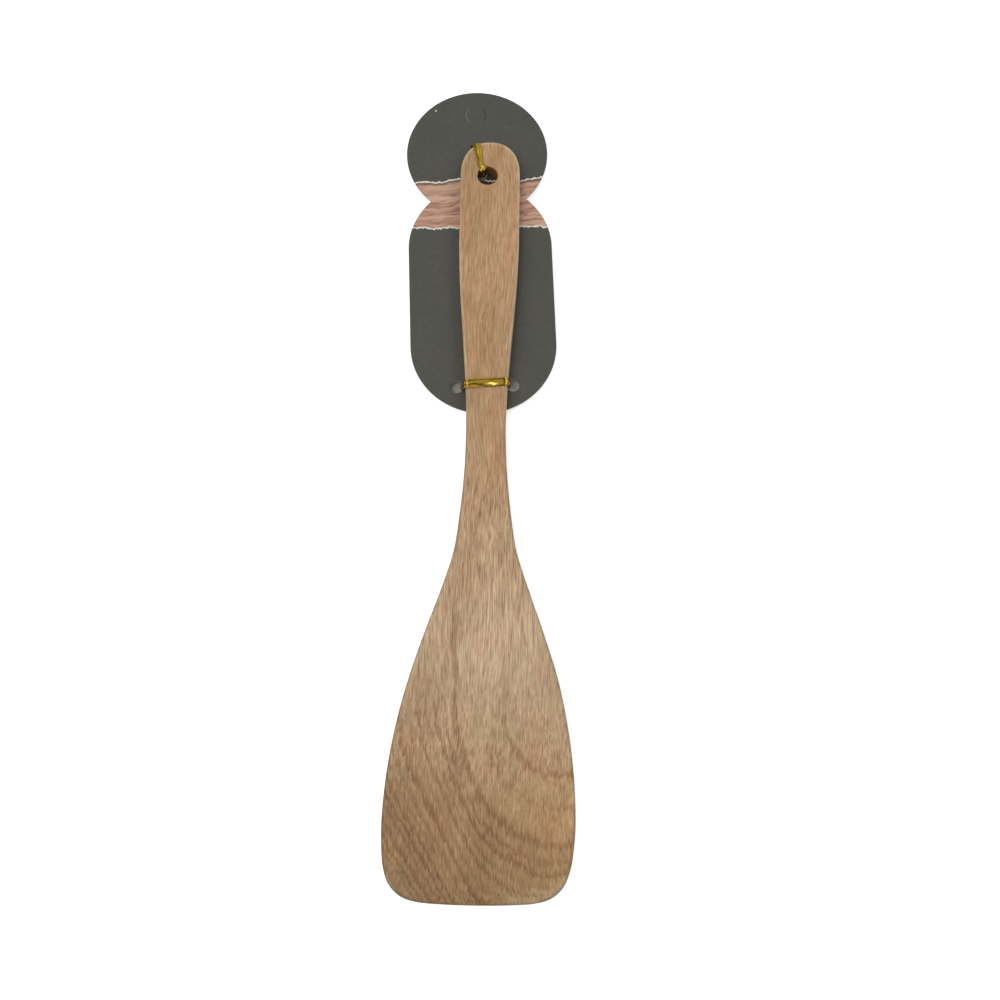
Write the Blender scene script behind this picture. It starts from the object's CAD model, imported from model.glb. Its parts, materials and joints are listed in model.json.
import json
import math

import bpy
import numpy as np
from mathutils import Matrix, Vector


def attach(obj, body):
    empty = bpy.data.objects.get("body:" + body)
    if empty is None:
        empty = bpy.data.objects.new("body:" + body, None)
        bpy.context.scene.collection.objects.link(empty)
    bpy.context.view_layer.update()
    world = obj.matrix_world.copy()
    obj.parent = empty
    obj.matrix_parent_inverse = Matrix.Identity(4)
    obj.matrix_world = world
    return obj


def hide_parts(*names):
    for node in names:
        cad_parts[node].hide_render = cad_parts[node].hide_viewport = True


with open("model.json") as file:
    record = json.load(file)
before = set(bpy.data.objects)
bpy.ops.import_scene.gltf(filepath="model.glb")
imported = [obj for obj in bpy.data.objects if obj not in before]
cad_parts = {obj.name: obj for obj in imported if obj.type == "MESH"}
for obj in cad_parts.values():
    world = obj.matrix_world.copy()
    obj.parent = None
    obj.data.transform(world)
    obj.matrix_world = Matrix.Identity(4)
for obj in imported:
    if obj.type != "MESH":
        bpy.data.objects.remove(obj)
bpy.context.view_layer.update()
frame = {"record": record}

MM = 0.001

# Sizes as in the CAD source, in millimetres and degrees, with RISE in radians
TURNER_L, NECK_Y, BLADE_W, NECK_W, HANDLE_W = 300, 175, 68.2, 15.1, 23.7
SWELL_L, CROWN_L, CROWN_POWER = 83, 15, 2.3
HANDLE_T, BLADE_T, TIP_T, BEVEL_L = 7, 3.2, 1.7, 4
FRONT_R, BACK_R, SHAVE, ROUNDING = 1.6, 1.0, 0.3, 0.42
BEND_Y, BEND_RUN, RISE = 125, 20, math.radians(2.5)
HOLE_D, HOLE_INSET, HOLE_SHIFT = 8.2, 15.6, -1.1
CARD_W, CARD_H, CARD_T, CARD_DROP, CARD_SHIFT, CARD_ANGLE = 57, 141.6, 0.5, 1.8, -5.56, 2.7
TIE_HOLE_D, TIE_HOLE_PITCH, TIE_HOLE_RISE, HANG_D, HANG_INSET = 5, 21.8, 11.1, 8, 10.4
CARD_GAP, HINGE_SHARE, KERF = 0.1, 0.8, 0.2
RIBBON_W, EDGE_T, RIDGE_T, WIRE_D, TWIST_L, TWIST_TURNS = 4, 0.24, 0.8, 0.44, 11, 2
TIE_GAP, STRAND_T, STRAND_W, STRAND_GAP, PASS_IN = 0.15, 0.84, 1.16, 0.46, 0.8
CROSS_DROP, MEET_RISE, WALL_GAP, WALL_ANGLE, CROWN_ANGLE = 1.4, 2, 0.3, 122, 62

# Sizes of the finish alone, in millimetres
HOLE_EASE, CARD_SOFTENED, WIRE_OUT, FLOOR_SIZE, FLOOR_Z = 0.35, 0.03, 0.4, 30000, -0.3
# Width of each ribbon at its stops, as shares of its flat width
LOWER_WIDTHS = (0.62, 0.65, 0.8, 0.9, 0.9, 0.86, 0.82, 0.78, 0.7, 0.65, 0.5)
UPPER_WIDTHS = (0.5, 0.66, 0.74, 0.8, 0.8, 0.68, 0.56, 0.66, 0.76, 0.72, 0.68, 0.5)

CROWN_Y = TURNER_L - CROWN_L
HOLE_Y = TURNER_L - HOLE_INSET
CARD_Y = TURNER_L - CARD_DROP
CARD_R = CARD_W / 2
CARD_SPAN = CARD_H - CARD_W
TIE_ROW = CARD_R - CARD_H + TIE_HOLE_RISE
HANG_Y = CARD_R - HANG_INSET
HINGE_Y = HANG_Y + HINGE_SHARE * HANG_D / 2
RIDGE_H = RIDGE_T / 2
STRAND_H = STRAND_T / 2
TWIST_R = (STRAND_GAP + STRAND_T) / 2
FRONT_Z = HANDLE_T + TIE_GAP + RIDGE_H
CARD_MID_Z = -CARD_GAP - CARD_T / 2
BEHIND_Z = -CARD_GAP - CARD_T - TIE_GAP - STRAND_H
TWIST_Z = BEHIND_Z - TWIST_R


def shift(x, y, z):
    return Matrix.Translation(Vector((x, y, z)) * MM)


PART = shift(0, -BEND_Y / 2, 0)
HANDLE = PART @ shift(0, BEND_Y, 0) @ Matrix.Rotation(RISE, 4, "X") @ shift(0, -BEND_Y, 0)
CARD = HANDLE @ shift(CARD_SHIFT, CARD_Y, -CARD_GAP - CARD_T)
CARD = CARD @ Matrix.Rotation(math.radians(CARD_ANGLE), 4, "Z")


# Camera and light, in metres

CAMERA_AIM, CAMERA_DISTANCE = (0.005757, 0.08793, 0), 0.62404
CAMERA_TILT, CAMERA_ROLL = math.radians(21), math.radians(0.823)
# Width of the sensor in millimetres, and the lens's length as a multiple of it
SENSOR_W, LENS_SHARE = 36, 1.649
LIGHT_AIM = (0, 0.1, 0)
# Name, place, size, power in watts and colour of each lamp
LAMPS = (("key", (-0.34, -0.25, 1.2), 0.5, 5.4, (1, 0.99, 0.97)),
         ("right", (0.62, 0.5, 0.95), 0.4, 2.0, (0.99, 0.995, 1)),
         ("left", (-0.62, 0.5, 0.95), 0.4, 1.5, (0.99, 0.995, 1)))
# Strength of the world as light and as seen, and of the floor's own glow as seen
WORLD_LIGHT, WORLD_SEEN, FLOOR_GLOW = 0.5, 1.0, 0.55


def place_object(name, data, matrix=None):
    made = bpy.data.objects.new(name, data)
    if matrix is not None:
        made.matrix_world = matrix
    bpy.context.scene.collection.objects.link(made)
    return made


def make_camera():
    ahead = Vector((0, math.sin(CAMERA_TILT), -math.cos(CAMERA_TILT)))
    level = Vector((1, 0, 0))
    above = Vector((0, math.cos(CAMERA_TILT), math.sin(CAMERA_TILT)))
    right = math.cos(CAMERA_ROLL) * level + math.sin(CAMERA_ROLL) * above
    up = -math.sin(CAMERA_ROLL) * level + math.cos(CAMERA_ROLL) * above
    camera = bpy.data.cameras.new("camera")
    camera.sensor_width, camera.lens = SENSOR_W, SENSOR_W * LENS_SHARE
    turn = Matrix((right, up, -ahead)).transposed().to_4x4()
    place = Matrix.Translation(Vector(CAMERA_AIM) - CAMERA_DISTANCE * ahead)
    bpy.context.scene.camera = place_object("camera", camera, place @ turn)


def make_lamps():
    for name, place, size, watts, colour in LAMPS:
        lamp = bpy.data.lights.new(name, "AREA")
        lamp.shape, lamp.size, lamp.size_y = "RECTANGLE", size, size
        lamp.energy, lamp.color = watts, colour
        toward = (Vector(LIGHT_AIM) - Vector(place)).normalized()
        turn = toward.to_track_quat("-Z", "Y").to_matrix().to_4x4()
        place_object(name, lamp, Matrix.Translation(place) @ turn)


# Node helpers

WHITE = (1, 1, 1, 1)


def linear(r, g, b):
    """The linear colour for an sRGB colour whose parts run from 0 to 255."""
    parts = [c / 255 for c in (r, g, b)]
    return tuple(c / 12.92 if c <= 0.04045 else ((c + 0.055) / 1.055) ** 2.4 for c in parts) + (1,)


class Graph:
    """A node tree whose methods each add nodes and give back what comes out of them."""

    def __init__(self, tree):
        self.tree = tree
        tree.nodes.clear()

    def fill(self, socket, value):
        if isinstance(value, bpy.types.NodeSocket):
            self.tree.links.new(value, socket)
        else:
            socket.default_value = value

    def node(self, kind, inputs=None, **settings):
        made = self.tree.nodes.new("ShaderNode" + kind)
        for key, value in settings.items():
            setattr(made, key, value)
        for key, value in (inputs or {}).items():
            self.fill(made.inputs[key], value)
        return made

    def close(self, kind, shader):
        self.tree.links.new(shader.outputs[0], self.node(kind).inputs[0])

    def math(self, operation, *values):
        made = self.node("Math", operation=operation)
        for socket, value in zip(made.inputs, values):
            self.fill(socket, value)
        return made.outputs[0]

    def chain(self, operation, values):
        made = values[0]
        for value in values[1:]:
            made = self.math(operation, made, value)
        return made

    def total(self, *values):
        return self.chain("ADD", values)

    def product(self, *values):
        return self.chain("MULTIPLY", values)

    def most(self, *values):
        return self.chain("MAXIMUM", values)

    def minus(self, a, b):
        return self.math("SUBTRACT", a, b)

    def outside(self, mask):
        return self.minus(1.0, mask)

    def aside(self, value, middle):
        return self.math("ABSOLUTE", self.minus(value, middle))

    def hypot(self, a, b):
        return self.math("SQRT", self.total(self.math("POWER", a, 2.0), self.math("POWER", b, 2.0)))

    def distance(self, vector, point):
        return self.node("VectorMath", {0: vector, 1: point}, operation="DISTANCE").outputs["Value"]

    def join(self, *parts):
        return self.node("CombineXYZ", dict(enumerate(parts))).outputs[0]

    def split(self, vector):
        return self.node("SeparateXYZ", {0: vector}).outputs

    def scaled(self, vector, scale, offset=(0, 0, 0)):
        return self.node("Mapping", {"Vector": vector, "Scale": scale, "Location": offset}).outputs[0]

    def in_mm(self, place=None, offset=(0, 0, 0)):
        """The place on the piece in millimetres, whole and as its three parts."""
        if place is None:
            place = self.node("TexCoord").outputs["Object"]
        made = self.scaled(place, (1 / MM, 1 / MM, 1 / MM), offset)
        return made, *self.split(made)

    def normal(self):
        return self.split(self.node("TexCoord").outputs["Normal"])

    def noise(self, vector, detail=2.0, rough=0.5):
        settings = {"Vector": vector, "Scale": 1.0, "Detail": detail, "Roughness": rough}
        return self.node("TexNoise", settings).outputs[0]

    def grain(self, vector, across, along, offset=(0, 0, 0), **settings):
        """Noise of one frequency along Y and another across it."""
        return self.noise(self.scaled(vector, (across, along, across), offset), **settings)

    def line_noise(self, w, scale, detail=2.0, rough=0.5):
        return self.node("TexNoise", {"W": w, "Scale": scale, "Detail": detail, "Roughness": rough},
                         noise_dimensions="1D").outputs[0]

    def swing(self, value, size):
        """Turns a value of 0 to 1 into one that swings about zero."""
        return self.product(self.minus(value, 0.5), size)

    def blend(self, share, a, b):
        return self.total(a, self.product(share, self.minus(b, a)))

    def span(self, value, low, high, to_low=0.0, to_high=1.0, smooth=False):
        made = self.node("MapRange", {"Value": value, "From Min": low, "From Max": high,
                                      "To Min": to_low, "To Max": to_high}, clamp=True)
        if smooth:
            made.interpolation_type = "SMOOTHSTEP"
        return made.outputs[0]

    def mix(self, share, a, b, blend="MIX"):
        made = self.node("Mix", data_type="RGBA", blend_type=blend, clamp_factor=True)
        for index, value in ((0, share), (6, a), (7, b)):
            self.fill(made.inputs[index], value)
        return made.outputs[2]

    def times(self, colour, gain):
        return self.mix(1.0, colour, gain, "MULTIPLY")

    def tint(self, colour, mask, gain):
        """Multiplies the colour by the gain where the mask is 1."""
        return self.times(colour, self.mix(mask, WHITE, gain + (1,)))

    def ramp(self, value, stops):
        made = self.node("ValToRGB", {0: value})
        made.color_ramp.elements.remove(made.color_ramp.elements[1])
        made.color_ramp.elements[0].position, made.color_ramp.elements[0].color = stops[0]
        for place, colour in stops[1:]:
            made.color_ramp.elements.new(place).color = colour
        return made.outputs[0]

    def surface(self, colour, roughness, height, distance, strength, metallic=0.0):
        bump = self.node("Bump", {"Height": height, "Distance": distance, "Strength": strength}).outputs[0]
        self.close("OutputMaterial", self.node("BsdfPrincipled", {
            "Base Color": colour, "Roughness": roughness, "Normal": bump, "Specular IOR Level": 0.3,
            "Metallic": metallic}))


def new_graph(name):
    material = bpy.data.materials.new(name)
    material.use_nodes = True
    return material, Graph(material.node_tree)


# Wood: places in millimetres, with Y from the blade's tip

PITH_X, PITH_Y = 30, 70
# Radius and pitch of the even rings, and how many lie inside the first one, so that no count is negative
FIRST_RING_R, RING_PITCH, RINGS_INSIDE = 34.5, 3.6, 40
# Radius, half width and depth of the rings that stand out; the first is the darkest
BOLD_RINGS = ((35.1, 1.7, 1.0), (26, 1.1, 0.45), (18, 1.4, 0.85))
# Half the blade's width in round numbers, and how far the worn foot climbs at its corners
BLADE_HALF_W, CORNER_RISE = 34, 13
# Colour of the board at shares of its length
BOARD_COLOURS = ((0.0, (159, 127, 88)), (0.1, (161, 129, 90)), (0.19, (179, 149, 114)),
                 (0.3, (189, 162, 130)), (0.38, (190, 160, 127)), (0.5, (179, 147, 111)),
                 (0.6, (175, 142, 104)), (0.8, (176, 141, 103)), (1.0, (177, 142, 104)))
# Gain of that colour at shares of a radius about the pith
TONES_R = 70
PITH_TONES = ((0.0, (1.0, 1.0, 1.0)), (0.27, (1.02, 1.02, 1.03)), (0.4, (1.07, 1.08, 1.1)),
              (0.47, (1.05, 1.06, 1.08)), (0.53, (0.96, 0.96, 0.95)), (0.85, (0.93, 0.92, 0.9)),
              (1.0, (0.8, 0.775, 0.74)))


def wood_fibres(g, place, x, y, z):
    """The place as bent by the fibres' flow, their strokes, and their pores."""
    flow = g.swing(g.grain(place, 0.03, 0.016, (5, 2, 0), detail=1.0), 9)
    wander = g.swing(g.grain(place, 0.3, 0.1, (2, 3, 1), detail=1.0), g.span(y, 110, 180, 0.4, 1.4))
    fibre = g.join(g.total(x, g.total(flow, wander)), y, z)
    long_strokes = g.grain(fibre, 2.1, 0.1, rough=0.6)
    short_strokes = g.grain(fibre, 1.9, 0.26, (3, 9, 4), rough=0.65)
    strokes = g.blend(g.span(y, 45, 105, smooth=True), short_strokes, long_strokes)
    return fibre, strokes, g.grain(fibre, 2.6, 0.2, (7, 5, 6), detail=1.0)


def wood_rings(g, place, fibre, x, y, z):
    """The distance from the pith, and the growth rings, jagged where they cross the fibres."""
    across = g.total(g.minus(x, PITH_X), g.product(z, 0.9))
    below = g.product(g.math("SMOOTH_MAX", g.minus(PITH_Y, y), 0.0, 12),
                      g.span(x, 0, -BLADE_HALF_W, 0.714, 1.15))
    plain = g.hypot(across, below)
    sway = g.swing(g.grain(place, 0.02, 0.011, detail=1.0), 3)
    ripple = g.swing(g.grain(place, 0.16, 0.07, (1, 7, 3)), 3)
    jag = g.swing(g.grain(fibre, 1.2, 0.14, (8, 1, 2), detail=1.0), 4.2)
    radius = g.total(g.total(plain, sway), g.total(ripple, jag))

    turns = g.total(g.math("DIVIDE", g.minus(radius, FIRST_RING_R), RING_PITCH),
                    g.product(g.line_noise(radius, 0.09, 1.0), 1.4))
    phase = g.math("FRACT", g.total(turns, RINGS_INSIDE))
    strength = g.span(g.line_noise(g.math("FLOOR", turns), 0.73, 0.0), 0.38, 0.62, 0.5, 1.0)
    rings = g.product(g.span(phase, 0.2, 0.8, smooth=True), g.span(phase, 1.0, 0.88, smooth=True), strength,
                      g.span(radius, 31, 38, 0.12, 1.0, smooth=True))
    for bold_r, half_w, depth in BOLD_RINGS:
        rings = g.most(rings, g.span(g.aside(radius, bold_r), 0.2, half_w, depth, 0.0, smooth=True))
    darkest = g.span(g.aside(radius, BOLD_RINGS[0][0]), 3, 2)
    fading = g.blend(darkest, g.span(y, 52, 84, 1.0, 0.25, smooth=True),
                     g.span(y, 80, 140, 1.0, 0.35, smooth=True))
    faint = g.product(g.span(x, 6, 20, smooth=True), g.span(y, 30, 18, smooth=True))
    return plain, g.product(g.product(rings, fading), g.blend(faint, 1.0, 0.7))


def board_colour(g, place, x, y, z, plain):
    """The board's colour without its strokes, pores and rings."""
    colour = g.ramp(g.math("DIVIDE", y, TURNER_L), [(share, linear(*c)) for share, c in BOARD_COLOURS])
    tone = g.ramp(g.math("DIVIDE", plain, TONES_R), [(share, c + (1,)) for share, c in PITH_TONES])
    colour = g.mix(g.span(y, 120, 70), colour, g.times(colour, tone))
    corner = g.product(g.span(x, 6, 24, smooth=True), g.span(y, 60, 36, smooth=True))
    colour = g.tint(colour, corner, (1.11, 1.11, 1.1))
    cloud = g.span(g.grain(place, 0.09, 0.03, (2, 6, 5)), 0.35, 0.65)
    colour = g.times(colour, g.mix(cloud, (0.91, 0.91, 0.905, 1), (1.0, 0.995, 1.015, 1)))
    blush = g.grain(place, 0.16, 0.05, (9, 4, 7), detail=1.0)
    colour = g.tint(colour, g.span(blush, 0.5, 0.7), (1.05, 0.97, 0.99))
    leaning = g.join(g.minus(x, g.product(y, 0.22)), y, z)
    bands = g.span(g.grain(leaning, 0.2, 0.014, (6, 1, 3)), 0.35, 0.65)
    return g.times(colour, g.mix(bands, (0.92, 0.9, 0.87, 1), (1.08, 1.1, 1.13, 1)))


def worn_edges(g, colour, x, y):
    """Pale where the rims are worn, dark on the blade's edge, in the hole and on the end grain."""
    _, ny, nz = g.normal()
    front = g.product(g.span(nz, 0.02, 0.2),
                      g.most(g.span(y, 165, 200, 0.15, 1.0), g.span(y, 14, 6, 0.0, 0.8)))
    half = g.span(y, NECK_Y, NECK_Y + SWELL_L, NECK_W / 2, HANDLE_W / 2, smooth=True)
    across = g.math("POWER", g.math("DIVIDE", g.math("ABSOLUTE", x), half), CROWN_POWER)
    along = g.math("POWER", g.span(y, CROWN_Y - 0.5, TURNER_L - 0.5), CROWN_POWER)
    brink = g.product(g.span(g.total(across, along), 0.68, 0.9, smooth=True), g.span(y, 172, 200))
    brink_gain = g.mix(g.span(along, 0.0, 0.4), (1.08, 1.15, 1.26, 1), (1.26, 1.46, 1.72, 1))
    colour = g.times(colour, g.mix(g.product(brink, front), WHITE, brink_gain))
    rim = g.product(g.span(nz, 0.93, 0.7, smooth=True), front)
    colour = g.tint(colour, rim, (1.14, 1.24, 1.34))

    corners = g.math("POWER", g.math("DIVIDE", g.math("ABSOLUTE", x), BLADE_HALF_W), 6.0)
    corners = g.product(corners, CORNER_RISE)
    foot = g.span(g.minus(y, corners), 6.5, 1.0, smooth=True)
    worn = g.most(g.span(x, 3, 16, smooth=True), g.span(x, -17, -28, 0.0, 0.6, smooth=True))
    colour = g.tint(colour, g.product(foot, worn), (1.22, 1.4, 1.68))
    blade_edge = g.product(g.span(nz, 0.88, 0.62), g.span(y, 190, 170))
    colour = g.tint(colour, blade_edge, (0.64, 0.68, 0.72))
    colour = g.tint(colour, g.span(nz, 0.2, 0.0), (0.82, 0.78, 0.74))
    from_hole = g.distance(g.join(x, y), (HOLE_SHIFT, HOLE_Y, 0))
    bore = g.product(g.span(from_hole, HOLE_D / 2 + 0.6, HOLE_D / 2 + 0.4), g.span(nz, 0.7, 0.2))
    colour = g.tint(colour, bore, (0.72, 0.6, 0.46))
    ends = g.product(g.span(g.math("ABSOLUTE", ny), 0.75, 0.95), g.span(nz, 0.5, 0.2), 0.5)
    return g.tint(colour, ends, (0.74, 0.68, 0.6))


def wood_material():
    """Flat-sawn board: fine strokes and pores, growth rings round a pith on the right, pale worn rims."""
    material, g = new_graph("turner_wood")
    place, x, y, z = g.in_mm(offset=(0, BEND_Y / 2, 0))
    fibre, strokes, pores = wood_fibres(g, place, x, y, z)
    plain, rings = wood_rings(g, place, fibre, x, y, z)
    colour = board_colour(g, place, x, y, z, plain)
    calm = g.most(g.span(y, 125, 190, smooth=True), g.span(y, 75, 30, smooth=True))
    strokes_dark = g.mix(calm, (0.54, 0.48, 0.4, 1), (0.71, 0.65, 0.58, 1))
    strokes_pale = g.mix(calm, (1.42, 1.48, 1.54, 1), (1.26, 1.31, 1.36, 1))
    colour = g.times(colour, g.mix(g.span(strokes, 0.28, 0.72), strokes_dark, strokes_pale))
    colour = g.tint(colour, g.span(pores, 0.58, 0.74), (0.72, 0.66, 0.58))
    colour = g.tint(colour, rings, (0.68, 0.59, 0.5))
    height = g.minus(strokes, g.product(rings, 0.15))
    g.surface(worn_edges(g, colour, x, y), g.span(strokes, 0.3, 0.7, 0.6, 0.48), height, 0.00008, 0.5)
    return material


# Card: places in millimetres in its own frame

# Height of each torn line, start of its noise, and its slow bends as (share of the card's width, rise)
UPPER_TEAR = (-12.4, 311, ((0.04, -0.5), (0.12, 0.0), (0.19, -0.5), (0.25, -0.5), (0.31, 0.5), (0.38, 0.9),
                           (0.57, -0.3), (0.79, -1.2), (0.84, -0.2), (0.9, 0.1), (0.97, 0.8)))
LOWER_TEAR = (-33.0, 83, ((0.04, 0.4), (0.12, 0.6), (0.16, -0.2), (0.24, 0.0), (0.29, 0.3), (0.36, -0.1),
                          (0.78, 0.0), (0.85, -0.4), (0.9, -0.2), (0.97, -0.8)))
# Range of heights that the slow bends can take
TEAR_REACH = 4
# Middle of what shows through the handle's hole, and of the torn line's part there
WINDOW_X, WINDOW_Y, LINE_WINDOW_X = 5, -12, 4.9
# Place of a pale nick in the ink
NICK = (-16.3, 20.5, CARD_T)


def over_tear(g, x, y, level, start, bends):
    """The height over a torn line."""
    stops = [(share, (0.5 + rise / TEAR_REACH,) * 3 + (1,)) for share, rise in bends]
    slow = g.swing(g.ramp(g.span(x, -CARD_R, CARD_R), stops), TEAR_REACH)
    quick = g.swing(g.line_noise(g.total(x, start), 0.75, 3.0, 0.6), 1.4)
    return g.minus(y, g.total(g.total(slow, quick), level))


def stripe_colour(g, place, x, y, z):
    """Pale wood with dark hairs that run across the card."""
    drift = g.swing(g.noise(g.scaled(place, (0.07, 0.05, 1), (4, 0, 0))), 9)
    wavy = g.join(x, g.total(y, drift), z)
    streak = g.noise(g.scaled(wavy, (0.045, 0.55, 1), (3, 5, 0)), detail=3.0, rough=0.6)
    hair = g.noise(g.scaled(wavy, (0.03, 0.62, 1), (9, 2, 0)), detail=1.0)
    hair = g.span(g.aside(g.math("FRACT", g.product(hair, 7)), 0.5), 0.02, 0.13, 1.0, 0.0)
    stripe = g.mix(g.span(streak, 0.35, 0.62), linear(160, 120, 96), linear(201, 165, 142))
    return g.mix(g.product(hair, 0.75), stripe, linear(116, 78, 62))


def print_colour(g, place, x, y, z, mottle):
    """Dark grey ink, and between two torn pale lines the wood-tone stripe, shaded under the handle."""
    ink = g.mix(g.span(mottle, 0.3, 0.7), linear(65, 64, 58), linear(77, 76, 70))
    cloud = g.grain(place, 0.05, 0.05, detail=1.0)
    ink = g.mix(g.span(cloud, 0.35, 0.65, 0.0, 0.3), ink, linear(64, 65, 59))
    upper, lower = over_tear(g, x, y, *UPPER_TEAR), over_tear(g, x, y, *LOWER_TEAR)
    above, below = g.span(upper, -0.04, 0.04), g.span(lower, 0.04, -0.04)
    inked = g.most(above, below)
    colour = g.mix(inked, stripe_colour(g, place, x, y, z), ink)

    window = g.span(g.aside(x, WINDOW_X), 7, 6)
    shade = g.product(g.span(upper, -1.5, -0.7, 0.0, 0.75), g.outside(above))
    shade = g.most(shade, g.product(window, g.outside(inked)))
    colour = g.mix(shade, colour, linear(70, 56, 50))
    within = g.product(window, g.span(g.aside(y, WINDOW_Y), 8, 7), 0.6)
    colour = g.mix(within, colour, linear(56, 44, 34))

    thick = g.span(g.line_noise(x, 0.6), 0.3, 0.7, 0.35, 0.8)
    upper_line = g.product(g.span(upper, -0.06, 0.03), g.span(g.minus(upper, thick), 0.04, -0.04))
    from_window = g.aside(x, LINE_WINDOW_X)
    hidden = g.product(g.span(from_window, 1.4, 2.4), g.span(from_window, 6.5, 6), 0.75)
    upper_line = g.product(upper_line, g.outside(hidden))
    lower_line = g.product(g.span(lower, 0.06, -0.03), g.span(g.total(lower, thick), -0.04, 0.04))
    colour = g.mix(g.most(upper_line, lower_line), colour, linear(226, 220, 212))

    colour = g.mix(g.span(g.distance(place, NICK), 0.5, 0.2), colour, linear(205, 203, 198))
    from_hang_hole = g.distance(place, (0, HANG_Y, CARD_T))
    cut = g.span(g.aside(from_hang_hole, HANG_D / 2), 0.4, 0.15)
    colour = g.mix(g.product(cut, g.span(x, 2.4, 3.6, 0.0, 0.9)), colour, linear(36, 35, 31))
    return g.mix(g.product(cut, g.span(x, -2, -3.4, 0.0, 0.2)), colour, linear(150, 148, 140))


def card_material():
    """Board that is printed on its front and bare on its back and edges."""
    material, g = new_graph("card_print")
    flat = g.node("Mapping", {"Vector": g.node("TexCoord").outputs["Object"], "Location": CARD.translation,
                              "Rotation": CARD.to_euler()}, vector_type="TEXTURE").outputs[0]
    place, x, y, z = g.in_mm(flat)
    mottle = g.grain(place, 0.9, 0.9, detail=4.0, rough=0.65)
    fleck = g.grain(place, 2.2, 2.2, detail=3.0, rough=0.6)
    board = g.mix(g.span(fleck, 0.3, 0.7), linear(160, 156, 147), linear(184, 180, 171))
    front = g.span(g.normal()[2], 0.35, 0.55)
    colour = g.mix(front, board, print_colour(g, place, x, y, z, mottle))
    g.surface(colour, g.span(mottle, 0.3, 0.7, 0.5, 0.62), fleck, 0.00004, 0.35)
    return material


# Ties, floor and world

# Floor under the holes through which it shows, as (centre, radius) in millimetres
SPOTS = (((-11.6, 134.5, 0), 3.4), ((10.1, 135.3, 0), 3.4), ((-3.7, 228.5, 0), 2.6))
# Middle line of the card's shadow on the floor, in millimetres
SHADOW_X, SHADOW_LOW_Y, SHADOW_HIGH_Y = -1.8, 145, 224


def foil_material():
    """Gold film; the mesh says how dark and how dull it is, and gives places along and across the ribbon."""
    material, g = new_graph("gold_foil")
    ribbon = g.node("Attribute", attribute_name="ribbon").outputs["Vector"]
    crease, dull, _ = g.split(g.node("Attribute", attribute_name="fold").outputs["Vector"])
    streak = g.noise(g.scaled(ribbon, (0.16, 2.2, 1)))
    fine = g.noise(g.scaled(ribbon, (0.3, 6.5, 1), (5, 3, 0)), detail=1.0)
    colour = g.mix(g.span(streak, 0.36, 0.62), (0.237, 0.15, 0.015, 1), (0.41, 0.27, 0.046, 1))
    colour = g.mix(g.span(fine, 0.5, 0.7, 0.0, 0.25), colour, (0.12, 0.08, 0.006, 1))
    colour = g.mix(g.product(dull, 0.7), colour, (0.235, 0.143, 0.023, 1))
    colour = g.mix(crease, colour, (0.028, 0.018, 0.001, 1))
    rough = g.total(g.span(fine, 0.3, 0.7, 0.14, 0.2), g.product(dull, 0.2))
    height = g.total(g.product(streak, 0.3), g.product(fine, 0.08))
    g.surface(colour, rough, height, 0.0002, 0.35, metallic=1.0)
    return material


def wire_material():
    material, g = new_graph("tie_wire")
    scuff = g.grain(g.in_mm()[0], 6, 6, detail=3.0, rough=0.6)
    colour = g.mix(g.span(scuff, 0.35, 0.65), linear(150, 148, 144), linear(186, 184, 180))
    g.surface(colour, g.span(scuff, 0.3, 0.7, 0.3, 0.5), scuff, 0.00002, 0.4, metallic=1.0)
    return material


def seen_by_eye(g):
    path = g.node("LightPath").outputs
    return g.most(path["Is Camera Ray"], path["Is Glossy Ray"], path["Is Transmission Ray"])


def floor_material():
    """Pale floor, white to the eye but for spots under the card's holes and the card's soft shadow."""
    material, g = new_graph("floor")
    place = g.node("TexCoord").outputs["Object"]
    _, x, y, _ = g.in_mm(place)
    level = g.join(x, y)
    spots = g.most(*[g.span(g.distance(level, centre), radius + 1.4, radius, smooth=True)
                     for centre, radius in SPOTS])
    nearest_y = g.math("MINIMUM", g.most(y, SHADOW_LOW_Y), SHADOW_HIGH_Y)
    from_line = g.hypot(g.minus(x, SHADOW_X), g.minus(y, nearest_y))
    shadow = g.span(from_line, 20, 4, 0.0, 0.6, smooth=True)
    tone = g.mix(g.grain(place, 3, 3, detail=1.0), (0.92, 0.92, 0.92, 1), (0.94, 0.94, 0.94, 1))
    tone = g.mix(spots, tone, g.mix(g.span(x, -4, 8), (0.36, 0.36, 0.33, 1), (0.56, 0.55, 0.5, 1)))
    glow = g.product(seen_by_eye(g), FLOOR_GLOW, g.outside(g.most(spots, shadow)))
    matt = g.node("BsdfDiffuse", {"Color": tone}).outputs[0]
    glowing = g.node("Emission", {"Color": WHITE, "Strength": glow}).outputs[0]
    g.close("OutputMaterial", g.node("AddShader", {0: matt, 1: glowing}))
    return material


def make_world():
    world = bpy.data.worlds.new("world")
    bpy.context.scene.world = world
    world.use_nodes = True
    g = Graph(world.node_tree)
    strength = g.blend(seen_by_eye(g), WORLD_LIGHT, WORLD_SEEN)
    g.close("OutputWorld", g.node("Background", {"Color": WHITE, "Strength": strength}))


# Mesh helpers

# Angle between faces from which an edge stays sharp
SHARP_ANGLES = {"wood": 40, "card": 50, "foil": 60, "wire": 60}


def make_mesh(name, points, faces):
    mesh = bpy.data.meshes.new(name)
    mesh.from_pydata((np.asarray(points, float) * MM).tolist(), [], [list(map(int, f)) for f in faces])
    mesh.validate()
    mesh.update()
    return mesh


def make_piece(name, mesh, place, node, slot, material):
    mesh.transform(place)
    mesh.shade_smooth()
    mesh.set_sharp_from_angle(angle=math.radians(SHARP_ANGLES[slot]))
    mesh.materials.clear()
    mesh.materials.append(material)
    piece = place_object(name, mesh)
    body = next(b for b, nodes in frame["record"]["behaviour"]["bodies"].items() if node in nodes)
    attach(piece, body)
    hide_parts(node)


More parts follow.
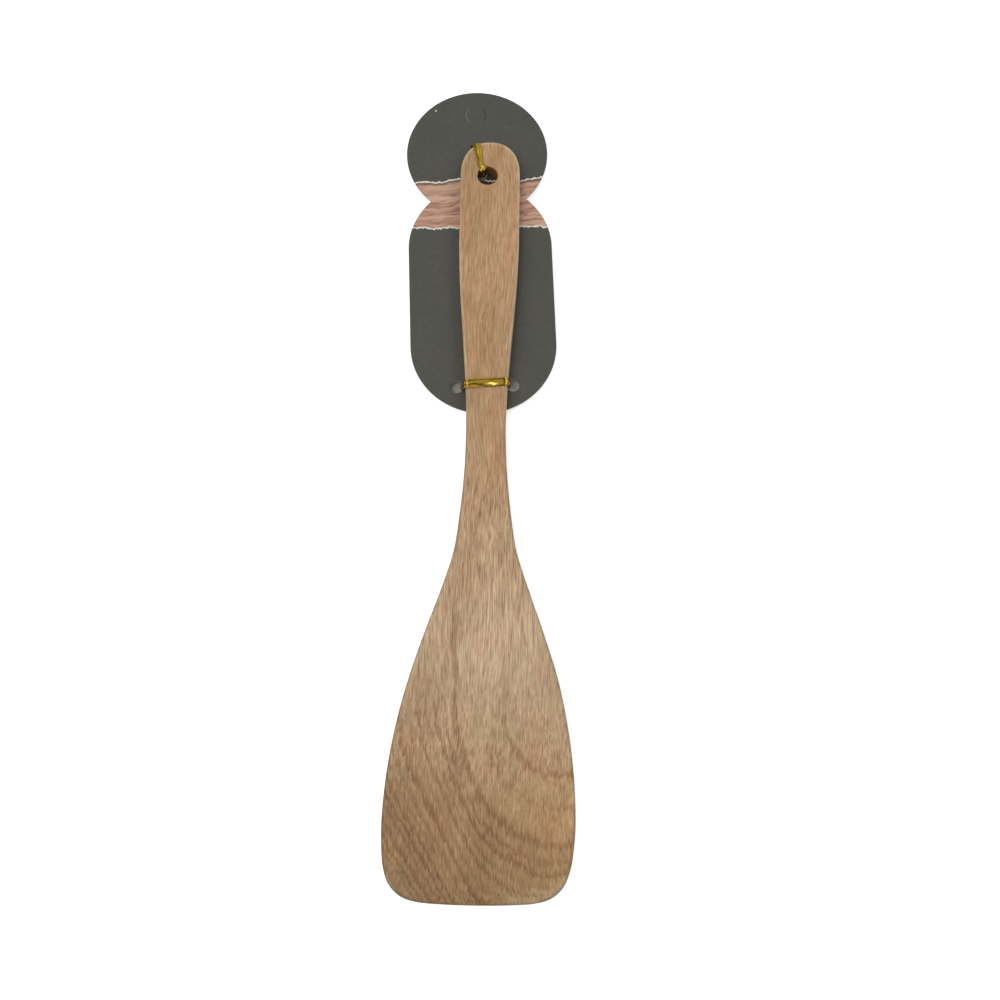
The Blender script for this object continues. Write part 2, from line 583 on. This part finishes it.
def baked(piece):
    """The mesh of an object with its modifiers applied. The object is removed."""
    bpy.context.view_layer.update()
    mesh = bpy.data.meshes.new_from_object(piece.evaluated_get(bpy.context.evaluated_depsgraph_get()))
    bpy.data.objects.remove(piece)
    return mesh


def ease(t):
    c = np.clip(t, 0, 1)
    return c * c * (3 - 2 * c)


def mix(a, b, share):
    return a + (b - a) * share


def unit(v):
    v = np.asarray(v, float)
    return v / np.linalg.norm(v)


def smooth_curve(stops, steps):
    """Points of a curve through the stops, with so many steps from one stop to the next."""
    stops = np.asarray(stops, float)
    made = []
    for i in range(len(stops) - 1):
        a, b, c, d = stops[max(i - 1, 0)], stops[i], stops[i + 1], stops[min(i + 2, len(stops) - 1)]
        terms = 2 * b, c - a, 2 * a - 5 * b + 4 * c - d, 3 * b - a - 3 * c + d
        for t in np.arange(steps) / steps:
            made.append((terms[0] + terms[1] * t + terms[2] * t**2 + terms[3] * t**3) / 2)
    return np.array(made + [stops[-1]])


def tube_faces(rings, sides):
    faces = []
    for r in range(rings - 1):
        for i in range(sides):
            j = (i + 1) % sides
            faces.append((r * sides + i, r * sides + j, (r + 1) * sides + j, (r + 1) * sides + i))
    return faces


def end_faces(rings, sides):
    last = (rings - 1) * sides
    return [tuple(range(sides)), tuple(range(last, last + sides))[::-1]]


# Turner

OUTLINE_STEPS, GRIP_POINTS, CROWN_POINTS, BACK_STEPS, FRONT_STEPS, BORE_SIDES = 8, 57, 49, 6, 10, 96
# Width of the strip of even faces along each flat's rim
FLAT_RIM = 0.25
# Outline of the blade's foot: share of half its width, share of the distance to the neck
FOOT = [(0, 0), (0.25, 0.0007), (0.5, 0.003), (0.62, 0.006), (0.7, 0.0098), (0.77, 0.0158), (0.84, 0.0262),
        (0.905, 0.0425), (0.95, 0.066), (0.98, 0.098)]
# Outline of the shoulders: share of the swelling beyond the neck, share of the distance to the neck
SHOULDERS = [(1, 0.165), (0.967, 0.26), (0.876, 0.36), (0.728, 0.46), (0.523, 0.56), (0.342, 0.64),
             (0.178, 0.72), (0.115, 0.77), (0.053, 0.85), (0.012, 0.93), (0, 1)]
# Sideways place of the blade's middle line: share of the distance to the neck, share of the blade's width
SWAY = [(0, -0.0095), (0.05, -0.009), (0.15, -0.003), (0.25, 0.001), (0.35, 0.005), (0.45, 0.01),
        (0.65, 0.01), (0.8, 0.005), (0.9, 0.003), (1, 0)]


def handle_half(y):
    return mix(NECK_W, HANDLE_W, ease((y - NECK_Y) / SWELL_L)) / 2


def crown_point(angle):
    a = math.radians(angle)
    return np.array([HANDLE_W / 2 * math.cos(a) ** (2 / CROWN_POWER),
                     CROWN_Y + CROWN_L * math.sin(a) ** (2 / CROWN_POWER)])


def turner_outline():
    """Points round the turner from the middle of its tip, and how many of them run up its right side."""
    foot = [(s * BLADE_W / 2, t * NECK_Y) for s, t in FOOT]
    shoulders = [(mix(NECK_W, BLADE_W, s) / 2, t * NECK_Y) for s, t in SHOULDERS]
    blade = smooth_curve(foot + shoulders, OUTLINE_STEPS)
    grip = [(handle_half(y), y) for y in np.linspace(NECK_Y, CROWN_Y, GRIP_POINTS)[1:]]
    crown = [crown_point(a) for a in np.linspace(0, 90, CROWN_POINTS)[1:-1]]
    right = np.vstack([blade, grip, crown, [(0, TURNER_L)]])
    left = right[-2:0:-1] * (-1, 1)
    outline = np.vstack([right, left])
    shares = np.array(SWAY)
    outline[:, 0] += BLADE_W * np.interp(outline[:, 1] / NECK_Y, shares[:, 0], shares[:, 1])
    return outline, len(right)


def thickness(y):
    full = mix(BLADE_T, HANDLE_T, ease(y / NECK_Y))
    return full - (BLADE_T - TIP_T) * np.maximum(0, 1 - y / BEVEL_L)


def bent(points):
    """The points with the handle's part turned about the bend line, and eased on both sides of it."""
    y = points[:, 1] - BEND_Y
    share = ease((y + BEND_RUN) / (2 * BEND_RUN))[:, None]
    turned = np.column_stack([points[:, 0], BEND_Y + y * math.cos(RISE) - points[:, 2] * math.sin(RISE),
                              y * math.sin(RISE) + points[:, 2] * math.cos(RISE)])
    return mix(points, turned, share)


def turner_mesh():
    """Rings of points from the flat back round the eased edge to the front, closed by two flats."""
    outline, side_count = turner_outline()
    n = len(outline)
    along = np.roll(outline, -1, 0) - np.roll(outline, 1, 0)
    along /= np.linalg.norm(along, axis=1)[:, None]
    outward = np.column_stack([along[:, 1], -along[:, 0]])
    full = thickness(outline[:, 1])
    back, front = np.minimum(BACK_R, ROUNDING * full), np.minimum(FRONT_R, ROUNDING * full)
    start = np.arccos(1 - SHAVE / back)
    rings = []
    for extra in (FLAT_RIM, 0):
        inset = back * (1 - np.sin(start)) + extra
        rings.append(np.column_stack([outline - inset[:, None] * outward, np.zeros(n)]))
    for k in range(1, BACK_STEPS + 1):
        a = mix(start, math.pi / 2, k / BACK_STEPS)
        rings.append(np.column_stack([outline - (back * (1 - np.sin(a)))[:, None] * outward,
                                      back * (1 - np.cos(a)) - SHAVE]))
    for k in range(FRONT_STEPS + 1):
        a = math.pi / 2 * k / FRONT_STEPS
        flat = outline - (front * (1 - math.cos(a)))[:, None] * outward
        rings.append(np.column_stack([flat, thickness(flat[:, 1]) - front * (1 - math.sin(a))]))
    flat = outline - (front + FLAT_RIM)[:, None] * outward
    rings.append(np.column_stack([flat, thickness(flat[:, 1])]))
    rings = [bent(r) for r in rings]
    for r in rings[:2]:
        r[:, 2] = np.maximum(0, (r[:, 1] - BEND_Y) * math.tan(RISE))
    faces = tube_faces(len(rings), n)
    for first, up in ((0, False), ((len(rings) - 1) * n, True)):
        cap = [(0, 1, n - 1)] + [(k, k + 1, n - k - 1, n - k) for k in range(1, side_count - 2)]
        cap.append((side_count - 2, side_count - 1, side_count))
        cap = [tuple(first + k for k in face) for face in cap]
        faces += cap if up else [face[::-1] for face in cap]
    return make_mesh("turner", np.vstack(rings), faces)


def drill(blank):
    """The blank with the handle's hole in it, whose rims are eased by sanding."""
    radius = HOLE_D / 2
    # The cutter flares clear of the board, then follows the eased rim
    profile = [(radius + HOLE_EASE + 0.6, -0.4), (radius + HOLE_EASE, -0.005)]
    profile += [(radius + HOLE_EASE * (1 - math.sin(a)), HOLE_EASE * (1 - math.cos(a)))
                for a in np.radians([15, 30, 45, 60, 75, 90])]
    profile += [(r, HANDLE_T - z) for r, z in profile[::-1]]
    turn = np.linspace(0, 2 * math.pi, BORE_SIDES, endpoint=False)
    rings = [np.column_stack([HOLE_SHIFT + r * np.cos(turn), HOLE_Y + r * np.sin(turn), 0 * turn + z])
             for r, z in profile]
    faces = tube_faces(len(rings), BORE_SIDES)
    faces += [end[::-1] for end in end_faces(len(rings), BORE_SIDES)]
    cutter = place_object("cutter", make_mesh("cutter", np.vstack(rings), faces), HANDLE)
    piece = place_object("blank", blank, PART)
    cut = piece.modifiers.new("hole", "BOOLEAN")
    cut.operation, cut.solver, cut.object = "DIFFERENCE", "EXACT", cutter
    mesh = baked(piece)
    bpy.data.objects.remove(cutter)
    return mesh


# Card

TOP_POINTS, NOTCH_POINTS, LOW_POINTS, TIE_HOLE_POINTS, HANG_POINTS = 160, 32, 120, 65, 72


def arc(centre, radius, start, end, count):
    a = np.radians(np.linspace(start, end, count))
    return np.column_stack([centre[0] + radius * np.cos(a), centre[1] + radius * np.sin(a)])


def card_loops():
    """The card's outline, its hang hole and its four tie holes."""
    notch = math.degrees(math.asin(CARD_SPAN / 4 / CARD_R))
    outer = np.vstack([
        arc((0, 0), CARD_R, -notch, 180 + notch, TOP_POINTS)[:-1],
        arc((0, -CARD_SPAN / 2), CARD_R, 180 - notch, 180, NOTCH_POINTS),
        arc((0, -CARD_SPAN), CARD_R, 180, 360, LOW_POINTS),
        arc((0, -CARD_SPAN / 2), CARD_R, 0, notch, NOTCH_POINTS)[:-1]])
    holes = [arc(p, TIE_HOLE_D / 2, 0, 360, TIE_HOLE_POINTS)[:-1] for p in tie_holes()]
    return [outer, below_hinge(HANG_D / 2, HINGE_Y)] + holes


def below_hinge(radius, top):
    """A disc about the hang hole's centre, cut straight along the hinge line."""
    a = math.degrees(math.asin((top - HANG_Y) / radius))
    return arc((0, HANG_Y), radius, 180 - a, 360 + a, HANG_POINTS)


def hang_tab_loop():
    """The tab fills its hole but for a hair of the cut."""
    return below_hinge(HANG_D / 2 - KERF / 10, HINGE_Y - KERF / 10)


def tie_holes():
    """Centres of the four tie holes in the card's own frame."""
    a = math.radians(CARD_ANGLE)
    back = np.array([[math.cos(a), math.sin(a)], [-math.sin(a), math.cos(a)]])
    return [(-TIE_HOLE_PITCH / 2, TIE_ROW), (TIE_HOLE_PITCH / 2, TIE_ROW)] + [
        tuple(back @ (np.asarray(p) - (CARD_SHIFT, CARD_Y))) for p in (UPPER_LEFT, UPPER_RIGHT)]


def sheet_mesh(name, loops):
    """A sheet of card with softened edges, its back on Z = 0."""
    curve = bpy.data.curves.new(name, "CURVE")
    curve.dimensions, curve.fill_mode = "2D", "BOTH"
    curve.extrude = (CARD_T / 2 - CARD_SOFTENED) * MM
    curve.bevel_depth, curve.bevel_resolution = CARD_SOFTENED * MM, 1
    curve.offset = -CARD_SOFTENED * MM
    for loop in loops:
        spline = curve.splines.new("POLY")
        spline.points.add(len(loop) - 1)
        for point, (x, y) in zip(spline.points, loop):
            point.co = (x * MM, y * MM, 0, 1)
        spline.use_cyclic_u = True
    mesh = baked(place_object(name, curve))
    bpy.data.curves.remove(curve)
    mesh.transform(shift(0, 0, CARD_T / 2))
    return mesh


# Ties: a stop is a place, the direction of the ribbon's width, half its width and half its ridge

TWIST_STEPS, ROUTE_STEPS, RIBBON_POINTS, WIRE_SIDES = 128, 14, 33, 14
# How far the foil stands off the ribbon's middle over the wire, and half the width of that swelling
COVER_T, COVER_HALF_W = 0.31, 0.4
# Spread of the crumpled ribbon's ridge, and the share of its width from which a ribbon is laid open
RIDGE_SPREAD, OPEN_SHARE = 0.36, 0.64
# Distance in the finish between the ribbon's two faces, which keeps their streaks apart
FACES_APART = 3.0
# The wire's ends: share of its radius at their tips, and length over which they are eased
WIRE_TIP_SHARE, WIRE_TIP_L = 0.82, 0.04


def with_z(p, z):
    return [p[0], p[1], z]


def stop(place, across, half_w, half_h):
    return np.array([*place, *across, half_w, half_h], float)


def from_card(p):
    a = math.radians(CARD_ANGLE)
    return np.array([CARD_SHIFT + p[0] * math.cos(a) - p[1] * math.sin(a),
                     CARD_Y + p[0] * math.sin(a) + p[1] * math.cos(a)])


def square(v):
    return np.array([-v[1], v[0]])


REACH = TIE_GAP + RIDGE_H
PASS_REACH = TIE_HOLE_D / 2 - PASS_IN
LOWER_LEFT, LOWER_RIGHT = from_card((-TIE_HOLE_PITCH / 2, TIE_ROW)), from_card((TIE_HOLE_PITCH / 2, TIE_ROW))
HOLE_MIDDLE = np.array([HOLE_SHIFT, HOLE_Y])
TO_WALL = np.array([math.cos(math.radians(WALL_ANGLE)), math.sin(math.radians(WALL_ANGLE))])
UPPER_IN = HOLE_MIDDLE + TO_WALL * (HOLE_D / 2 - RIDGE_H - WALL_GAP)
CROWN_EDGE, CROWN_BEFORE, CROWN_AFTER = [crown_point(CROWN_ANGLE + d) * (-1, 1) for d in (0, -1, 1)]
CROWN_OUT = square(unit(CROWN_AFTER - CROWN_BEFORE))
UPPER_OUT = CROWN_EDGE + CROWN_OUT * REACH
UPPER_LEFT = UPPER_OUT - CROWN_OUT * PASS_REACH
UPPER_RIGHT = UPPER_IN + TO_WALL * PASS_REACH


def meeting(p, q):
    return (p + q) / 2 + MEET_RISE * square(unit(q - p))


def twist(p, q, phase):
    """One strand of the twist behind the card, between the passes p and q."""
    s, e, made = unit(q - p), square(unit(q - p)), []
    for share in np.linspace(0, 1, TWIST_STEPS + 1):
        a = math.radians(phase - 360 * TWIST_TURNS * share)
        c = meeting(p, q) + e * TWIST_L * share + s * TWIST_R * math.cos(a)
        made.append(stop(with_z(c, TWIST_Z + TWIST_R * math.sin(a)), with_z(-math.sin(a) * s, math.cos(a)),
                         STRAND_W / 2, STRAND_H))
    return made


def behind(p, q, start, side, width, z):
    """The ribbon behind the card, from the twist's start at height z to the pass that it comes through."""
    s, e, m = side * unit(q - p), square(unit(q - p)), meeting(p, q)
    run = np.linalg.norm(m - start) / 2
    full = RIBBON_W * width
    return [
        stop(with_z(mix(start, m, 5 / 6), mix(BEHIND_Z, z, 5 / 6)), with_z(unit(e - s), 0),
             STRAND_W / 2, STRAND_H),
        stop(with_z(mix(start, m, 1 / 2), mix(BEHIND_Z, z, 1 / 4)), with_z(unit(e - s / 4), 0),
             mix(full, STRAND_W, 1 / 2) / 2, STRAND_H),
        stop(with_z(start + s * run / 4, BEHIND_Z), with_z(e, 0), full / 2, STRAND_H),
        stop(with_z(start + s * run / 16, mix(CARD_MID_Z, BEHIND_Z, 2 / 3)), with_z(e, 0),
             full / 2, STRAND_H)]


def over_edge(edge, out, across, width_a, width_b):
    """Round the handle's front edge, from its side up onto its face."""
    c, r, made = edge - out * FRONT_R, FRONT_R + REACH, []
    for a in (0, 45, 90):
        turn = math.radians(a)
        place = with_z(c + out * r * math.cos(turn), HANDLE_T - FRONT_R + r * math.sin(turn))
        made.append(stop(place, with_z(across, 0), mix(width_a, width_b, a / 90) * RIBBON_W / 2, RIDGE_H))
    return made


def lower_stops():
    """Two passes through the card, the stops between them over the handle, and the ends' width shares."""
    side = handle_half(LOWER_RIGHT[1] + TIE_HOLE_D / 2)
    passed = side + REACH
    p = np.array([-max(passed, -LOWER_LEFT[0] - PASS_REACH), LOWER_LEFT[1]])
    q = np.array([max(passed, LOWER_RIGHT[0] - PASS_REACH), LOWER_RIGHT[1]])
    a, b = np.array([-side, LOWER_LEFT[1] - CROSS_DROP]), np.array([side, LOWER_RIGHT[1] - CROSS_DROP])

    def up_side(start, edge, out, wide, narrow):
        top, along = edge + np.array([out, 0]) * REACH, [0, 1, 0]
        return [stop(with_z(start, CARD_MID_Z), along, wide * RIBBON_W / 2, RIDGE_H),
                stop(with_z(mix(start, top, 1 / 4), HANDLE_T / 6), along, wide * RIBBON_W / 2, RIDGE_H),
                stop(with_z(mix(start, top, 3 / 4), HANDLE_T / 2), along, narrow * RIBBON_W / 2, RIDGE_H)]

    w = LOWER_WIDTHS
    over = up_side(p, a, -1, w[1], w[2]) + over_edge(a, np.array([-1, 0]), [0, 1], w[2], w[3])
    over += [stop(with_z(mix(a, b, share), FRONT_Z), [0, 1, 0], width * RIBBON_W / 2, RIDGE_H)
             for share, width in ((1 / 3, w[4]), (2 / 3, w[5]))]
    over += over_edge(b, np.array([1, 0]), [0, 1], w[7], w[6])[::-1]
    over += up_side(q, b, 1, w[9], w[8])[::-1]
    return p, q, over, w[0], w[10]


def upper_stops():
    """The same for the tie that passes through the handle's hole."""
    way = unit(UPPER_IN - CROWN_EDGE)
    across, wall_across = square(way), square(TO_WALL)

    def wall(out, z, share, width):
        return stop(with_z(HOLE_MIDDLE + TO_WALL * (HOLE_D / 2 + out), z),
                    with_z(mix(across, -wall_across, share), 0), width * RIBBON_W / 2, RIDGE_H)

    w = UPPER_WIDTHS
    over = [stop(with_z(UPPER_OUT, CARD_MID_Z), with_z(across, 0), w[1] * RIBBON_W / 2, RIDGE_H),
            stop(with_z(UPPER_OUT, HANDLE_T / 3), with_z(across, 0), w[2] * RIBBON_W / 2, RIDGE_H)]
    over += over_edge(CROWN_EDGE, CROWN_OUT, across, w[3], w[4])
    over.append(stop(with_z(mix(CROWN_EDGE, UPPER_IN, 1 / 2), FRONT_Z), with_z(across, 0),
                     w[5] * RIBBON_W / 2, RIDGE_H))
    inside = -RIDGE_H - WALL_GAP
    over += [wall(2 * REACH, FRONT_Z, 0, w[6]), wall(REACH / 4, FRONT_Z + TIE_GAP, 2 / 3, w[7]),
             wall(-REACH, HANDLE_T + REACH / 6, 1, w[8]), wall(inside, HANDLE_T - 2 * REACH, 1, w[9]),
             wall(inside, HANDLE_T / 3, 1, w[10]), wall(inside, CARD_MID_Z, 1, w[10])]
    return UPPER_OUT, UPPER_IN, over, w[0], w[11]


def tie_rings(p, q, over, width_p, width_q):
    """All stops of a tie from one twisted end to the other, close together."""
    first, last = twist(p, q, 90), twist(p, q, 270)
    middle = [first[0]] + behind(p, q, p, 1, width_p, TWIST_Z + TWIST_R) + over
    middle += behind(p, q, q, -1, width_q, TWIST_Z - TWIST_R)[::-1] + [last[0]]
    return np.vstack([first[:0:-1], smooth_curve(middle, ROUTE_STEPS), last[1:]])


def ring_frames(rings):
    """The place of each stop, and the directions across, out of and along the ribbon there."""
    place, steps = rings[:, :3], np.arange(len(rings))
    ahead = place[np.minimum(steps + 1, len(rings) - 1)] - place[np.maximum(steps - 1, 0)]
    ahead /= np.linalg.norm(ahead, axis=1)[:, None]
    across = rings[:, 3:6]
    across = across - np.sum(across * ahead, axis=1)[:, None] * ahead
    across /= np.linalg.norm(across, axis=1)[:, None]
    return place, across, np.cross(ahead, across), ahead


def foil_mesh(name, rings, profile):
    """A ribbon round its wire. The profile gives its upper face and how creased and dull it is."""
    place, across, normal, _ = ring_frames(rings)
    travel = np.concatenate([[0], np.cumsum(np.linalg.norm(np.diff(place, axis=0), axis=1))])
    middle = travel - travel[-1] / 2
    shares = np.linspace(1, -1, RIBBON_POINTS)
    points, marks, folds = [], [], []
    for i in range(len(rings)):
        w, h = rings[i][6], rings[i][7]
        wide = np.clip((w - STRAND_W / 2) / (OPEN_SHARE * RIBBON_W / 2 - STRAND_W / 2), 0, 1)
        u, s = shares * w, middle[i]
        shape, crease, dull = profile(s, u)
        wire = COVER_T * np.sqrt(np.clip(1 - (u / COVER_HALF_W) ** 2, 0, 1))
        plain = EDGE_T / 2 + (h - EDGE_T / 2) * np.exp(-((u / RIDGE_SPREAD) ** 2))
        tip = np.where(np.abs(shares) == 1, 0.5, 1)
        top = mix(plain * tip, np.maximum(shape, wire) - (1 - tip) * EDGE_T / 2, wide)
        base = mix(-plain * tip, np.minimum(shape - EDGE_T, -wire) + (1 - tip) * EDGE_T / 2, wide)
        for side, offset in ((1, top), (-1, base[::-1])):
            along_u = u[::side]
            points.append(place[i] + along_u[:, None] * across[i] + offset[:, None] * normal[i])
            marks.append(np.column_stack([np.full(len(u), s), along_u, np.full(len(u), FACES_APART * side)]))
            folds.append(np.column_stack([wide * crease[::side], wide * dull[::side], np.zeros(len(u))]))
    sides = 2 * RIBBON_POINTS
    faces = [f[::-1] for f in tube_faces(len(rings), sides)] + end_faces(len(rings), sides)
    mesh = make_mesh(name, np.vstack(points), faces)
    for key, rows in (("ribbon", marks), ("fold", folds)):
        mesh.attributes.new(key, "FLOAT_VECTOR", "POINT").data.foreach_set("vector", np.vstack(rows).ravel())
    return mesh


def wire_mesh(name, rings):
    """The wire in a ribbon's middle, which stands out of both of its ends."""
    place, across, normal, ahead = ring_frames(rings)
    turn, last = np.linspace(0, 2 * math.pi, WIRE_SIDES, endpoint=False), len(rings) - 1
    layout = [(0, -WIRE_OUT, WIRE_TIP_SHARE), (0, -WIRE_OUT + WIRE_TIP_L, 1)]
    layout += [(i, 0, 1) for i in range(0, len(rings), 2)]
    layout += [(last, WIRE_OUT - WIRE_TIP_L, 1), (last, WIRE_OUT, WIRE_TIP_SHARE)]
    points = []
    for i, out, size in layout:
        circle = np.cos(turn)[:, None] * across[i] + np.sin(turn)[:, None] * normal[i]
        points.append(place[i] + out * ahead[i] + WIRE_D / 2 * size * circle)
    faces = [f[::-1] for f in tube_faces(len(layout), WIRE_SIDES)] + end_faces(len(layout), WIRE_SIDES)
    return make_mesh(name, np.vstack(points), faces)


# Folds: s runs along the ribbon from its middle and u across it from its wire, both in millimetres

# Places of the bright facet and of the two sharp bends on the lower ribbon
FACET_S, FACET_U, RIGHT_BEND_S, LEFT_BEND_S = 2.4, -0.72, 7.6, -7.5
# Place and height of the lip on the upper ribbon
LIP_S, LIP_RISE = 5.5, 0.85


def near(value, place, spread):
    return np.exp(-(((value - place) / spread) ** 2))


def lower_folds(s, u):
    """A fold between two dark grooves, the lower of which swings down round one bright facet."""
    swing = ease((s + 4.4) / 4.6) * (1 - 0.25 * ease((s - 4.6) / 3))
    low, high = mix(-0.42, -1.65, swing), 1.1
    t = np.clip((u - low) / (high - low), 0, 1)
    shape = -0.12 + mix(0.34, 0.42, swing) * np.sin(np.pi * t ** 0.85)
    shape = shape + 0.12 * np.clip((u - high) / 0.4, 0, 1) + 0.04 * np.clip((low - u) / 0.8, 0, 1)
    facet = near(s, FACET_S, 2.4) * near(u, FACET_U, 0.5)
    shape = shape - 0.2 * (s + 2.4) * near(s, -2.4, 2.6) * near(u, -0.85, 0.6)
    shape = mix(shape, 0.2 + 0.12 * (s - FACET_S) + 0.3 * (u - FACET_U), facet)
    bend = np.maximum(near(s, RIGHT_BEND_S, 0.45), near(s, LEFT_BEND_S, 0.35))
    shape = mix(shape, 0.32, bend)

    crease = np.maximum(0.95 * near(u, low, 0.27), mix(0.9, 0.6, near(s, 0.2, 1)) * near(u, high, 0.22))
    crease = np.maximum(crease, 0.45 * near(u, 0.15, 0.12) * ease((s - 0.5) / 2))
    crease = np.maximum(crease, 0.85 * near(s, -2.3, 1.6) * near(u, -0.8, 0.5))
    crease = np.maximum(crease * (1 - 0.9 * facet) * (1 - bend), 0.9 * near(s, 6.75, 0.35))
    crease = np.maximum(crease, 0.7 * np.maximum(near(s, 8.5, 0.3), near(s, -6.7, 0.2)))
    dull = np.clip((low - u) / 0.2, 0, 1) * (1 - swing)
    return shape, crease, dull


def upper_folds(s, u):
    """A broad fold on the right, a darker flange on the left, and a crumpled lip that hangs into the hole."""
    groove = -0.45 + 0.2 * math.sin(0.7 * s)
    t = np.clip((u - groove) / (1.5 - groove), 0, 1)
    shape = 0.05 + 0.3 * np.sin(np.pi * t ** 0.85) + 0.16 * np.clip((groove - u) / 0.8, 0, 1)
    lip = s - LIP_S - 0.3 * np.cos(4.5 * u)
    shape = shape + LIP_RISE * np.where(lip < 0.7, ease((lip + 0.7) / 1.4), 1 - ease((lip - 0.7) / 1.2))
    crease = 0.5 * np.clip((groove + 0.15 - u) / 0.3, 0, 1) + 0.3 * near(u, groove, 0.2) * near(s, 1, 3)
    crease = crease * (1 - near(lip, 0.2, 0.7))
    return shape, crease, np.maximum(0.3 * np.clip((groove - u) / 0.2, 0, 1), 0.6 * near(s, -3, 4))


# The scene


def make_floor():
    corners = [(x * FLOOR_SIZE, y * FLOOR_SIZE, FLOOR_Z) for x, y in ((-1, -1), (1, -1), (1, 1), (-1, 1))]
    mesh = make_mesh("floor", corners, [(0, 1, 2, 3)])
    mesh.materials.append(floor_material())
    floor = place_object("floor", mesh)


def make_pieces():
    wood, board, foil, steel = wood_material(), card_material(), foil_material(), wire_material()
    make_piece("wooden_turner", drill(turner_mesh()), PART, "turner", "wood", wood)
    for name, loops, node in (("header_card", card_loops(), "backing_card"),
                              ("hang_hole_tab", [hang_tab_loop()], "hang_tab")):
        make_piece(name, sheet_mesh(name, loops), CARD, node, "card", board)
    for side, stops, folds in (("upper", upper_stops(), upper_folds), ("lower", lower_stops(), lower_folds)):
        ribbon, core, rings = side + "_ribbon", side + "_core", tie_rings(*stops)
        make_piece(ribbon, foil_mesh(ribbon, rings, folds), HANDLE, side + "_tie_foil", "foil", foil)
        make_piece(core, wire_mesh(core, rings), HANDLE, side + "_tie_wire", "wire", steel)


make_camera()
make_world()
make_floor()
make_lamps()
make_pieces()
bpy.context.scene.view_settings.view_transform = "Standard"
